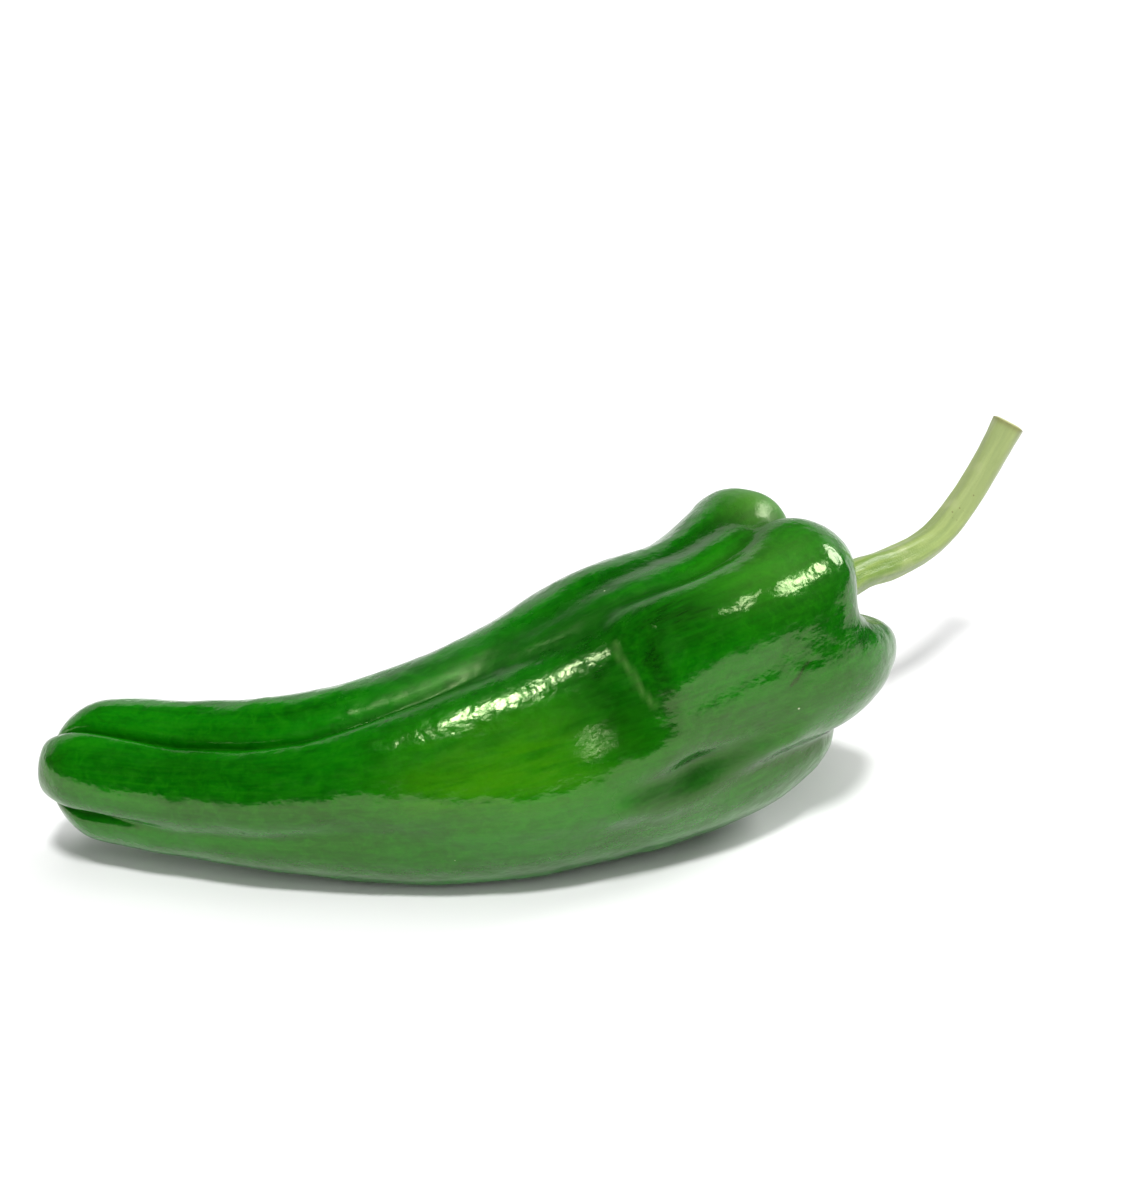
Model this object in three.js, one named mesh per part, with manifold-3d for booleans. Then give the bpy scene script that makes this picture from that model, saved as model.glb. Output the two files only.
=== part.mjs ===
// Italian frying pepper lying on its side: a lobed pod, the calyx in its crown and the stem.
// Millimetres, +Z up, +X from the pod's tip towards the stem, the floor at Z = 0.

import * as THREE from 'three';
import { ParametricGeometry } from 'three/addons/geometries/ParametricGeometry.js';
import { mergeVertices } from 'three/addons/utils/BufferGeometryUtils.js';
import Module from 'manifold-3d';

// ---- pod: centre line ----
// Distance along the centre line from the tip, and where the line runs at each station.
const STATIONS = [0, 12, 31, 50, 68, 86, 104, 112, 127, 141, 153, 162];
const CENTRE_LINE = [
  [-92, 30, 17.7], [-82, 25.5, 17.8], [-65, 18, 17.8], [-47.5, 12, 18.3],
  [-29.5, 9.5, 19.8], [-11, 9.5, 22.5], [6.6, 12.1, 25.9], [14.2, 13.8, 27.2],
  [28.5, 17.5, 29.5], [41.3, 22.4, 32.5], [51.2, 27, 35.5], [59, 31.4, 38],
];
const POD_LENGTH = 163;

// ---- pod: lobes ----
// turn: direction in the section at each station, degrees, 0 to the front (-Y) and 90 up.
// reach: how far the lobe stands from the centre line at each station.
// roundness: radius of the lobe's own circle as a share of its reach, at each station.
// tip, crown: how much further (or less far) the lobe runs at either end.
const LOBES = [
  { // top, with the tall shoulder
    turn: [108, 112, 118, 118, 118, 117, 116, 116, 115, 113, 112, 110],
    reach: [10, 13, 14.2, 16, 18.5, 21.6, 24.6, 25.3, 25.8, 28, 32, 32],
    roundness: [0.66, 0.66, 0.66, 0.66, 0.66, 0.66, 0.66, 0.66, 0.66, 0.66, 0.66, 0.66],
    tip: -1, crown: -3,
  },
  { // narrow ridge between the top and the front, towards the crown
    turn: [78, 78, 78, 78, 78, 80, 79, 78, 77, 78, 80, 82],
    reach: [6, 7, 8, 9, 12, 19.5, 23.9, 25, 26.2, 28, 28, 25],
    roundness: [0.5, 0.5, 0.5, 0.5, 0.5, 0.5, 0.5, 0.5, 0.5, 0.5, 0.5, 0.5],
    tip: 0, crown: -2.5,
  },
  { // front, the widest one
    turn: [25, 24, 16, 20, 33, 38, 44, 48, 50, 53, 58, 60],
    reach: [13.5, 15.2, 15.4, 17.2, 19.8, 22.9, 25.8, 30.2, 31.9, 31.8, 33, 31.5],
    roundness: [0.47, 0.5, 0.5, 0.5, 0.53, 0.58, 0.58, 0.38, 0.34, 0.42, 0.55, 0.6],
    tip: 0.9, crown: -2,
  },
  { // wall between the front lobe and its lower fold
    turn: [15, 15, 15, 15, 18, 15, 19, 30, 32, 36, 40, 43],
    reach: [10, 12, 13, 15, 19.6, 22.8, 25.2, 26.8, 27.6, 28.9, 29.6, 28.5],
    roundness: [0.6, 0.6, 0.6, 0.6, 0.5, 0.53, 0.53, 0.45, 0.44, 0.48, 0.55, 0.6],
    tip: 0, crown: -1,
  },
  { // lower fold, which parts from the front lobe towards the crown
    turn: [15, 15, 15, 12, 5, -1, 0, 4, 9, 15, 23, 28],
    reach: [10, 12, 13, 15, 20, 23.9, 26.4, 25.7, 26.1, 28, 29.3, 29],
    roundness: [0.6, 0.6, 0.6, 0.55, 0.45, 0.44, 0.45, 0.6, 0.64, 0.6, 0.6, 0.6],
    tip: 0, crown: 0,
  },
  { // belly, the lobe that the pod lies on
    turn: [-52, -52, -52, -52, -50, -48, -50, -52, -56, -55, -46, -42],
    reach: [10, 13, 14.6, 16.9, 20.6, 24.3, 27.2, 27.8, 27.6, 25, 21, 18],
    roundness: [0.66, 0.66, 0.66, 0.67, 0.69, 0.7, 0.7, 0.69, 0.67, 0.66, 0.66, 0.66],
    tip: -1.4, crown: -12,
  },
  { // back
    turn: [212, 214, 218, 224, 229, 231, 230, 230, 228, 224, 219, 215],
    reach: [10, 13, 14.6, 17, 20.3, 24, 27.2, 28, 28.5, 28, 26, 24],
    roundness: [0.74, 0.74, 0.74, 0.74, 0.74, 0.74, 0.74, 0.74, 0.74, 0.74, 0.74, 0.74],
    tip: -3, crown: -1,
  },
];
const LOBE_SHARPNESS = 26;   // how tightly neighbouring lobes meet
// The front, wall and fold are one lobe up to the first station, and apart from the second on.
const ONE_LOBE = [2, 3, 4];
const PARTING = [142, 158];
// The groove between that lobe and the belly is shallow from the second station to the third.
const BELLY = 5;
const SHALLOW = [14, 28, 96, 110];
// Extra depth between lobes at each station.
const GROOVE_DEPTH = [2.2, 2, 1.5, 1.2, 1, 0.9, 0.9, 1, 1.1, 1.2, 1.5, 2];

// Swellings (+) and dents (-) on the wall: station, turn, half length, half width, height.
const SWELLINGS = [
  { at: 112, turn: 100, length: 12, width: 12, height: 0.8 },
  { at: 160, turn: 16, length: 6, width: 6, height: 1.5 },
  { at: 106, turn: 30, length: 3, width: 11, height: -1 },
  { at: 149, turn: 48, length: 8, width: 7, height: 1.2 },
  { at: 133, turn: 52, length: 5, width: 5, height: 0.6 },
  { at: 113, turn: -4, length: 11, width: 3.2, height: -1.6 },
];

// ---- pod: ends ----
const TIP = { length: 13, bluntness: 2.3, scallop: 3, hollow: 2.5, hollowWidth: 0.2, sink: 1.5 };
const CROWN = { length: 26, bluntness: 2.5, scallop: 6, hollow: 3, hollowWidth: 0.3, sink: 5.5 };
// Each end is level up to the inner share of its section, and fully lobed from the outer one.
const LEVEL_SHARE = 0.22;
const LOBED_SHARE = 0.8;

// ---- calyx ----
const CALYX = {
  reach: 0.43, corners: 6, cornerRise: 0.04, tooth: 0.09, toothWidth: 0.2,
  thickness: 0.95, gap: 0.35, curl: 1.4,
};

// ---- stem ----
const STEM_STATIONS = [0, 3, 8, 17, 28, 39.5, 50, 60, 68.5];
const STEM_LINE = [
  [51.3, 27.2, 35.7], [54, 28.7, 36.6], [58.2, 31.5, 37.5], [65.2, 36.4, 37.7], [73.6, 41.7, 36.9],
  [83, 47.2, 38.2], [90.2, 51.1, 43.4], [96, 53.7, 51], [100.4, 55.3, 58.1],
];
const STEM_RADIUS = [5.8, 5.3, 3.9, 3.2, 3.1, 3, 2.95, 2.9, 3.3];
const STEM_RIDGES = { count: 5, height: 0.05 };
const STEM_CUT = { rim: 0.45, dimple: 0.9, dimpleWidth: 0.35 };

// ---- placing ----
const FLOOR_LEVEL = 1;       // the flat spot is cut here, just above the lowest skin
const MIDDLE = [4.78, 21.96]; // middle of the whole pepper in plan

// ---- mesh density ----
const POD_GRID = { around: 66, tip: 8, body: 36, crown: 16 };
const CALYX_GRID = { around: 48, across: 9 };
const STEM_GRID = { around: 24, along: 30 };

const radians = THREE.MathUtils.degToRad;
const clamp = THREE.MathUtils.clamp;

/** Value of a table of stations at x, on a cubic through them and straight past both ends. */
function smooth(stations, values, x) {
  const last = stations.length - 1;
  const slope = (i) => {
    const a = Math.max(i - 1, 0);
    const b = Math.min(i + 1, last);
    return (values[b] - values[a]) / (stations[b] - stations[a]);
  };
  let i = 0;
  while (i < last - 1 && x > stations[i + 1]) i += 1;
  const span = stations[i + 1] - stations[i];
  const share = (x - stations[i]) / span;
  const t = clamp(share, 0, 1);
  const value = (2 * t ** 3 - 3 * t ** 2 + 1) * values[i] + (t ** 3 - 2 * t ** 2 + t) * span * slope(i)
    + (3 * t ** 2 - 2 * t ** 3) * values[i + 1] + (t ** 3 - t ** 2) * span * slope(i + 1);
  return value + (share - t) * span * slope(share > 1 ? i + 1 : i);
}

/** Centre, and the sideways and upward directions of the section, at a station of a line. */
function sectionFrame(stations, line, at) {
  const point = (x) => new THREE.Vector3(
    ...[0, 1, 2].map((axis) => smooth(stations, line.map((p) => p[axis]), x)));
  const ahead = point(at + 0.5).sub(point(at - 0.5)).normalize();
  const side = new THREE.Vector3().crossVectors(ahead, new THREE.Vector3(0, 0, 1)).normalize();
  const up = new THREE.Vector3().crossVectors(side, ahead);
  return { centre: point(at), side, up };
}

/** Skin radius of the pod at a station and turn, each lobe's share of it, and how much a groove. */
function podSection(at, turn) {
  const reaches = LOBES.map((lobe) => {
    const reach = smooth(STATIONS, lobe.reach, at);
    const off = turn - radians(smooth(STATIONS, lobe.turn, at));
    const round = smooth(STATIONS, lobe.roundness, at) * reach;
    const out = reach - round;
    return out * Math.cos(off) + Math.sqrt(Math.max(round ** 2 - (out * Math.sin(off)) ** 2, 0));
  });
  const powers = reaches.map((r) => r ** LOBE_SHARPNESS);
  const total = powers.reduce((sum, p) => sum + p, 0);
  const shares = powers.map((p) => p / total);
  const apart = shares.reduce((sum, w) => sum + w * w, 0);
  const shallow = clamp((at - SHALLOW[0]) / (SHALLOW[1] - SHALLOW[0]), 0, 1)
    * clamp((SHALLOW[3] - at) / (SHALLOW[3] - SHALLOW[2]), 0, 1);
  const front = ONE_LOBE.reduce((sum, i) => sum + shares[i], 0);
  const joined = shares.reduce((sum, w, i) => sum + (ONE_LOBE.includes(i) ? 0 : w * w), 0)
    + front ** 2 + 2 * shallow * front * shares[BELLY];
  const parting = clamp((at - PARTING[0]) / (PARTING[1] - PARTING[0]), 0, 1);
  const groove = 2 * (1 - joined - parting * (apart - joined));
  let radius = total ** (1 / LOBE_SHARPNESS) - groove * smooth(STATIONS, GROOVE_DEPTH, at);
  for (const bump of SWELLINGS) {
    const off = turn - radians(bump.turn);
    const across = radius * Math.atan2(Math.sin(off), Math.cos(off));
    radius += bump.height
      * Math.exp(-(((at - bump.at) / bump.length) ** 2) - (across / bump.width) ** 2);
  }
  return { radius, shares, groove };
}

/** How far an end of the pod is pushed outwards along the centre line at a share of its section. */
function endPush(end, key, share, section) {
  const level = LOBES.reduce((sum, lobe) => sum + lobe[key], 0) / LOBES.length - end.sink;
  const lobed = LOBES.reduce((sum, lobe, i) => sum + section.shares[i] * lobe[key], 0)
    - end.scallop * section.groove;
  const t = clamp((share - LEVEL_SHARE) / (LOBED_SHARE - LEVEL_SHARE), 0, 1);
  return level + (lobed - level) * t * t * (3 - 2 * t);
}

/** Point of the pod's skin, `share` of the way from the centre line, lifted outwards by `lift`. */
function podPoint(at, share, turn, lift = 0) {
  const section = podSection(at, turn);
  const intoTip = clamp(1 - at / TIP.length, 0, 1);
  const intoCrown = clamp((at - POD_LENGTH + CROWN.length) / CROWN.length, 0, 1);
  const fromSeat = Math.max(share - LEVEL_SHARE, 0);
  let along = at + lift;
  if (at < POD_LENGTH / 2) {
    along += TIP.hollow * Math.exp(-((fromSeat / TIP.hollowWidth) ** 2))
      - intoTip * endPush(TIP, 'tip', share, section);
  } else {
    along += intoCrown * endPush(CROWN, 'crown', share, section)
      - CROWN.hollow * Math.exp(-((fromSeat / CROWN.hollowWidth) ** 2));
  }
  const { centre, side, up } = sectionFrame(STATIONS, CENTRE_LINE, along);
  return centre
    .addScaledVector(side, share * section.radius * Math.cos(turn))
    .addScaledVector(up, share * section.radius * Math.sin(turn));
}

/** Station on the crown at which its rounded end has narrowed to `share` of the section. */
function crownStation(share) {
  return POD_LENGTH - CROWN.length
    + CROWN.length * (1 - share ** CROWN.bluntness) ** (1 / CROWN.bluntness);
}

/** Station and share of the section for a row of the pod's grid, from the tip to the crown. */
function podRow(row) {
  const { tip, body, crown } = POD_GRID;
  if (row <= tip) {
    const a = (row / tip) * Math.PI / 2;
    const power = 2 / TIP.bluntness;
    return { at: TIP.length * (1 - Math.cos(a) ** power), share: Math.sin(a) ** power };
  }
  if (row < tip + body) {
    const t = (row - tip) / body;
    return { at: TIP.length + t * (POD_LENGTH - TIP.length - CROWN.length), share: 1 };
  }
  const a = ((tip + body + crown - row) / crown) * Math.PI / 2;
  const share = Math.max(Math.sin(a), 0) ** (2 / CROWN.bluntness);
  return { at: crownStation(share), share };
}

/** Closed surface from a function of (row, turn), with its rows running from end to end. */
function closedSurface(rows, around, pointAt) {
  const surface = new ParametricGeometry((u, v, target) => {
    const turn = (Math.round((1 - u) * around) % around) * 2 * Math.PI / around;
    target.copy(pointAt(Math.round(v * rows), turn));
  }, around, rows);
  const placed = new THREE.BufferGeometry();
  placed.setAttribute('position', surface.getAttribute('position'));
  placed.setIndex(surface.getIndex());
  placed.translate(-MIDDLE[0], -MIDDLE[1], -FLOOR_LEVEL);
  const welded = mergeVertices(placed, 1e-4);
  const index = welded.getIndex().array;
  const kept = [];
  for (let i = 0; i < index.length; i += 3) {
    const [a, b, c] = [index[i], index[i + 1], index[i + 2]];
    if (a !== b && b !== c && c !== a) kept.push(a, b, c);
  }
  welded.setIndex(kept);
  return welded;
}

/** The pod's skin as one closed lobed body. */
function podGeometry() {
  const { around, tip, body, crown } = POD_GRID;
  return closedSurface(tip + body + crown, around, (row, turn) => {
    const { at, share } = podRow(row);
    return podPoint(at, share, turn);
  });
}

/** How far the calyx spreads in a direction, as a share of the pod's section: corners and teeth. */
function calyxReach(turn) {
  const step = 2 * Math.PI / CALYX.corners;
  const off = ((turn % step) + step) % step - step / 2;
  return CALYX.reach * (1 + CALYX.cornerRise * Math.cos(CALYX.corners * turn + Math.PI)
    + CALYX.tooth * Math.exp(-((off / CALYX.toothWidth) ** 2)));
}

/** The calyx: a thin papery dish that follows the crown, its edge curled a little outwards. */
function calyxGeometry() {
  const { around, across } = CALYX_GRID;
  return closedSurface(2 * across + 1, around, (row, turn) => {
    const under = row <= across;
    const share = (under ? row : 2 * across + 1 - row) / across;
    const curl = CALYX.curl * share ** 5;
    const thickness = under ? 0 : CALYX.thickness * (1 - 0.35 * share);
    const spread = share * calyxReach(turn);
    return podPoint(crownStation(spread), spread, turn, CALYX.gap + curl + thickness);
  });
}

/** The stem: a swept tube with a broad foot, soft ridges and a cut end with a dimple. */
function stemGeometry() {
  const { around, along } = STEM_GRID;
  const length = STEM_STATIONS[STEM_STATIONS.length - 1];
  const caps = 4;
  return closedSurface(along + 2 * caps, around, (row, turn) => {
    const t = clamp((row - caps) / along, 0, 1);
    const foot = clamp(row / caps, 0, 1);
    const cut = clamp((along + 2 * caps - row) / caps, 0, 1);
    const share = Math.min(foot, cut);
    const at = length * t ** 1.3;
    const { centre, side, up } = sectionFrame(STEM_STATIONS, STEM_LINE, at);
    const ahead = new THREE.Vector3().crossVectors(up, side);
    const ridge = 1 + STEM_RIDGES.height * Math.cos(STEM_RIDGES.count * turn);
    const radius = smooth(STEM_STATIONS, STEM_RADIUS, at) * ridge * share;
    const hollow = cut < 1 ? STEM_CUT.dimple * Math.exp(-((cut / STEM_CUT.dimpleWidth) ** 2))
      - STEM_CUT.rim * Math.sin(cut * Math.PI) : 0;
    return centre
      .addScaledVector(side, radius * Math.cos(turn))
      .addScaledVector(up, radius * Math.sin(turn))
      .addScaledVector(ahead, -hollow);
  });
}

const wasm = await Module();
wasm.setup();

/** A geometry as a manifold solid. */
function toSolid(geometry) {
  return new wasm.Manifold(new wasm.Mesh({
    numProp: 3,
    vertProperties: new Float32Array(geometry.getAttribute('position').array),
    triVerts: new Uint32Array(geometry.getIndex().array),
  }));
}

/** A manifold solid as a geometry. */
function toGeometry(solid) {
  const { vertProperties, triVerts } = solid.getMesh();
  const geometry = new THREE.BufferGeometry();
  geometry.setAttribute('position', new THREE.BufferAttribute(new Float32Array(vertProperties), 3));
  geometry.setIndex(new THREE.BufferAttribute(new Uint32Array(triVerts), 1));
  return geometry;
}

/** The pod with the flat spot on which it lies cut along the floor. */
function restingPod() {
  const ground = new THREE.BoxGeometry(400, 200, 60).translate(0, 0, -30);
  const block = mergeVertices(
    new THREE.BufferGeometry()
      .setAttribute('position', ground.getAttribute('position'))
      .setIndex(ground.getIndex()), 1e-4);
  return toGeometry(toSolid(podGeometry()).subtract(toSolid(block)));
}

/** One named piece in its own finish. */
function piece(name, geometry, color, roughness) {
  geometry.computeVertexNormals();
  const material = new THREE.MeshStandardMaterial({ color, roughness, metalness: 0 });
  const mesh = new THREE.Mesh(geometry, material);
  mesh.name = name;
  return mesh;
}

const pepper = new THREE.Group();
pepper.name = 'italian_frying_pepper';
pepper.add(
  piece('pod', restingPod(), 0x2f7d1e, 0.22),
  piece('calyx', calyxGeometry(), 0x55602f, 0.6),
  piece('stem', stemGeometry(), 0xa5b968, 0.45),
);

export default pepper;
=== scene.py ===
"""Italian frying pepper on a white table: glossy lobed pod, papery calyx and ridged stem."""

import logging
import math
from dataclasses import dataclass
from enum import Enum

import bpy
import numpy as np
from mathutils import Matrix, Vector


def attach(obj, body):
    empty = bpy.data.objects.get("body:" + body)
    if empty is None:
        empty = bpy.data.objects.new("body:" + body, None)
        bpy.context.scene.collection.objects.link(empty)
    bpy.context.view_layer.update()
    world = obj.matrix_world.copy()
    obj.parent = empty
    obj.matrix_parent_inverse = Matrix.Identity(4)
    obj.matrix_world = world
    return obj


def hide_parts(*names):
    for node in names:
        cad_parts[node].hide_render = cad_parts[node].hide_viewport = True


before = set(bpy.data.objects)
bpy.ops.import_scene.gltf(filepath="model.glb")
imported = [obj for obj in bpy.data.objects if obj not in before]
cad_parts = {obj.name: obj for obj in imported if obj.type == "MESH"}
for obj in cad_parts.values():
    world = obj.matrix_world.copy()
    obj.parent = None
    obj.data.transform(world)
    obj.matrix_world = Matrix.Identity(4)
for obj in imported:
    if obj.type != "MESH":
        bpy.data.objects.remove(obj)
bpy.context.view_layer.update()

log = logging.getLogger("pepper")
MM = 0.001
TINY = 1e-9

Colour = tuple[float, float, float, float]
Place = tuple[float, float, float]
Socket = bpy.types.NodeSocket
Value = Socket | float | Colour


def colour(code: str) -> Colour:
    """Linear colour of a display colour.

    Each channel c goes through ((c + 0.055) / 1.055) ** 2.4, or c / 12.92 where it is dark.

    Args:
        code: the display colour as six hex digits, such as "2f7d1e".

    Returns:
        Red, green and blue as linear light, and an alpha of 1.
    """
    shown = [int(code[i:i + 2], 16) / 255 for i in (0, 2, 4)]
    red, green, blue = (c / 12.92 if c <= 0.04045 else ((c + 0.055) / 1.055) ** 2.4 for c in shown)
    return red, green, blue, 1.0


def smooth(stations: tuple, values: tuple, x: np.ndarray) -> np.ndarray:
    """Reads a table of stations on a cubic through its values, and straight past both ends.

    Between two stations the value is the cubic Hermite blend of the two values and their slopes,
    where a slope is the difference of the two neighbours' values over their distance.

    Args:
        stations: places of the table's values, rising.
        values: a number or a point at each station.
        x: places to read.

    Returns:
        The value at each place, with the point's axis last where the values are points.
    """
    place = np.asarray(stations, float)
    value = np.asarray(values, float)
    x = np.asarray(x, float)
    gap = np.empty(len(place))
    rise = np.empty_like(value)
    gap[1:-1], rise[1:-1] = place[2:] - place[:-2], value[2:] - value[:-2]
    gap[0], rise[0] = place[1] - place[0], value[1] - value[0]
    gap[-1], rise[-1] = place[-1] - place[-2], value[-1] - value[-2]
    points = value.ndim > 1
    slope = rise / (gap[:, None] if points else gap)
    i = np.clip(np.searchsorted(place, x) - 1, 0, len(place) - 2)
    span = place[i + 1] - place[i]
    share = (x - place[i]) / span
    if points:
        span, share = span[..., None], share[..., None]
    t = np.clip(share, 0, 1)
    curve = ((2 * t**3 - 3 * t**2 + 1) * value[i] + (t**3 - 2 * t**2 + t) * span * slope[i]
             + (3 * t**2 - 2 * t**3) * value[i + 1] + (t**3 - t**2) * span * slope[i + 1])
    return curve + (share - t) * span * np.where(share > 1, slope[i + 1], slope[i])


def ease(x: np.ndarray, low: float, high: float) -> np.ndarray:
    """Soft step from 0 at low to 1 at high: 3 t squared minus 2 t cubed of the share between them."""
    t = np.clip((x - low) / (high - low), 0, 1)
    return t * t * (3 - 2 * t)


@dataclass(frozen=True)
class Line:
    """A centre line in space, known at stations along it, in millimetres."""

    stations: tuple[float, ...]
    points: tuple[Place, ...]
    half_step: float = 0.5

    def frames(self, at: np.ndarray) -> tuple[np.ndarray, np.ndarray, np.ndarray, np.ndarray]:
        """Centres and section axes along the line.

        Ahead is the direction from half a step before to half a step after. Side is ahead crossed
        with the vertical, and up is side crossed with ahead.

        Args:
            at: stations, of any shape.

        Returns:
            Centre, ahead, side and up, each with the axis of space last.
        """
        before = smooth(self.stations, self.points, at - self.half_step)
        ahead = smooth(self.stations, self.points, at + self.half_step) - before
        ahead /= np.linalg.norm(ahead, axis=-1, keepdims=True)
        side = np.cross(ahead, np.array([0.0, 0.0, 1.0]))
        side /= np.linalg.norm(side, axis=-1, keepdims=True)
        return smooth(self.stations, self.points, at), ahead, side, np.cross(side, ahead)


@dataclass(frozen=True)
class Lobe:
    """One lobe of the pod.

    Turn in degrees, reach and roundness are known at each station of the pod. Tip and crown are
    how far the lobe stands out at either end.
    """

    turn: tuple[float, ...]
    reach: tuple[float, ...]
    roundness: tuple[float, ...]
    tip: float
    crown: float


@dataclass(frozen=True)
class End:
    """How one end of the pod rounds off: its length, its bluntness, and its hollow and scallops."""

    length: float
    bluntness: float
    scallop: float
    hollow: float
    hollow_width: float
    sink: float


@dataclass(frozen=True)
class Swelling:
    """A soft swelling, or a dent where its height is below zero, on the pod's wall."""

    at: float
    turn: float
    length: float
    width: float
    height: float


@dataclass(frozen=True)
class Waves:
    """Fine random relief: a sum of sine waves in drawn directions, even over the skin."""

    wavelength: float
    height: float
    seed: int
    drawn_out: float = 1.0
    count: int = 20
    variety: tuple[float, float] = (0.75, 1.35)

    def heights(self, straight: np.ndarray) -> np.ndarray:
        """Height of the relief at places on the straightened pod.

        Each wave is the sine of the place along a drawn direction, in turns of about a wavelength,
        plus a drawn phase. Their sum over the root of half their number has the height as its
        spread.

        Args:
            straight: places with the axis of space last, the pod's length along Z.

        Returns:
            Height at each place, in millimetres.
        """
        draw = np.random.default_rng(self.seed)
        place = straight * np.array([1.0, 1.0, 1.0 / self.drawn_out])
        total = np.zeros(straight.shape[:-1])
        for _ in range(self.count):
            way = draw.normal(size=3)
            way *= draw.uniform(*self.variety) * 2 * math.pi / self.wavelength / np.linalg.norm(way)
            total += np.sin(place @ way + draw.uniform(0, 2 * math.pi))
        return total * self.height / math.sqrt(self.count / 2)


@dataclass(frozen=True)
class Crease:
    """A thin raised or sunk line on the pod's wall, through stations and turns."""

    path: tuple[tuple[float, float], ...]
    width: float
    height: float

    def heights(self, at: np.ndarray, turn: np.ndarray, radius: np.ndarray) -> np.ndarray:
        """Height of the line over the skin: a bell curve of the distance from its path."""
        return self.height * np.exp(-(self.distance(at, turn, radius) / self.width) ** 2)

    def distance(self, at: np.ndarray, turn: np.ndarray, radius: np.ndarray) -> np.ndarray:
        """Distance over the skin from the path, the least of the distances from its stretches.

        Args:
            at: stations of the skin.
            turn: turns of the skin, in radians.
            radius: radius of the skin there, which makes turns into distances.

        Returns:
            Distance in millimetres.
        """
        nearest = np.full(at.shape, np.inf)
        for (at_a, turn_a), (at_b, turn_b) in zip(self.path, self.path[1:]):
            off = turn - math.radians((turn_a + turn_b) / 2)
            across = radius * np.arctan2(np.sin(off), np.cos(off))
            half = radius * math.radians(turn_b - turn_a) / 2
            middle = (at_a + at_b) / 2
            step = np.stack([np.full(at.shape, (at_b - at_a) / 2), half])
            gone = np.stack([at - middle, across])
            share = np.clip((gone * step).sum(0) / np.maximum((step**2).sum(0), TINY), -1, 1)
            nearest = np.minimum(nearest, np.sqrt(((gone - share * step) ** 2).sum(0)))
        return nearest


class Mark(Enum):
    """Soft-edged marks the skin's finish reads: colours, painted shade and sheen, gloss and relief."""

    # Yellow-green patches of the skin; on the crown the same mark is painted sheen.
    YELLOW_AND_SHEEN = "sunlit"
    OLIVE = "olive"
    # Painted shade: darker green in recesses and along folds that reflect the dark room.
    PAINTED_SHADE = "shade"
    # Painted sheen on the shoulder and knob, and a painted highlight along a crease.
    PAINTED_SHEEN = "pale"
    SCAR = "scar"
    DULL = "dull"
    PUCKER = "pucker"


@dataclass(frozen=True)
class Patch:
    """A soft patch of one mark on the pod's wall."""

    mark: Mark
    at: float
    turn: float
    length: float
    width: float
    strength: float

    def weights(self, at: np.ndarray, turn: np.ndarray, radius: np.ndarray) -> np.ndarray:
        """Weight of the patch: a bell curve along it times one across it.

        Args:
            at: stations of the skin.
            turn: turns of the skin, in radians.
            radius: radius of the skin there.

        Returns:
            Weight at each place.
        """
        off = turn - math.radians(self.turn)
        across = radius * np.arctan2(np.sin(off), np.cos(off))
        along = at - self.at
        return self.strength * np.exp(-((along / self.length) ** 2) - (across / self.width) ** 2)


def closed_skin(name: str, points: np.ndarray, values: dict[str, np.ndarray]) -> bpy.types.Object:
    """Makes a closed mesh from a grid of points whose first and last rows are single poles.

    Quads join neighbouring rows and columns, the last column joins the first, and a fan of
    triangles closes each pole.

    Args:
        name: name of the piece.
        points: rows by columns by 3, in millimetres of the centred frame.
        values: attributes by name, rows by columns, with a last axis of 3 where they are vectors.

    Returns:
        The new object, at the origin and linked to the scene.
    """
    rows, around = points.shape[:2]

    def flat(grid: np.ndarray) -> np.ndarray:
        """The grid as one row of vertices, with a single one at each pole."""
        body = grid[1:-1].reshape((-1,) + grid.shape[2:])
        return np.concatenate([grid[:1, 0], body, grid[-1:, 0]])

    here = np.arange(around)
    beside = (here + 1) % around
    row = 1 + np.arange(rows - 3)[:, None] * around
    next_row = row + around
    quads = np.stack([row + here, next_row + here, next_row + beside, row + beside], -1).reshape(-1, 4)
    last_row = 1 + (rows - 3) * around
    end_pole = 1 + (rows - 2) * around
    start_fan = np.stack([np.zeros_like(here), 1 + here, 1 + beside], -1)
    end_fan = np.stack([last_row + here, np.full_like(here, end_pole), last_row + beside], -1)
    corners = np.concatenate([quads.ravel(), start_fan.ravel(), end_fan.ravel()])
    sizes = np.concatenate([np.full(len(quads), 4), np.full(2 * around, 3)])

    mesh = bpy.data.meshes.new(name)
    place = flat(points) * MM
    mesh.vertices.add(len(place))
    mesh.vertices.foreach_set("co", place.astype(np.float32).ravel())
    mesh.loops.add(len(corners))
    mesh.loops.foreach_set("vertex_index", corners.astype(np.int32))
    mesh.polygons.add(len(sizes))
    mesh.polygons.foreach_set("loop_start", (np.cumsum(sizes) - sizes).astype(np.int32))
    mesh.polygons.foreach_set("loop_total", sizes.astype(np.int32))
    mesh.update(calc_edges=True)
    mesh.validate()
    mesh.shade_smooth()
    for key, grid in values.items():
        vector = grid.ndim == 3
        layer = mesh.attributes.new(key, "FLOAT_VECTOR" if vector else "FLOAT", "POINT")
        layer.data.foreach_set("vector" if vector else "value", flat(grid).astype(np.float32).ravel())
    piece = bpy.data.objects.new(name, mesh)
    bpy.context.scene.collection.objects.link(piece)
    return piece


class Sum(Enum):
    """Sums of two numbers that the finishes need."""

    PLUS = "ADD"
    TIMES = "MULTIPLY"


@dataclass(frozen=True)
class Clouds:
    """One cloudy noise: clouds a unit, finer layers, their strength, its bend and its squeeze."""

    scale: float
    layers: float = 2.0
    rough: float = 0.5
    bend: float = 0.0
    squeeze: Place | None = None


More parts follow.
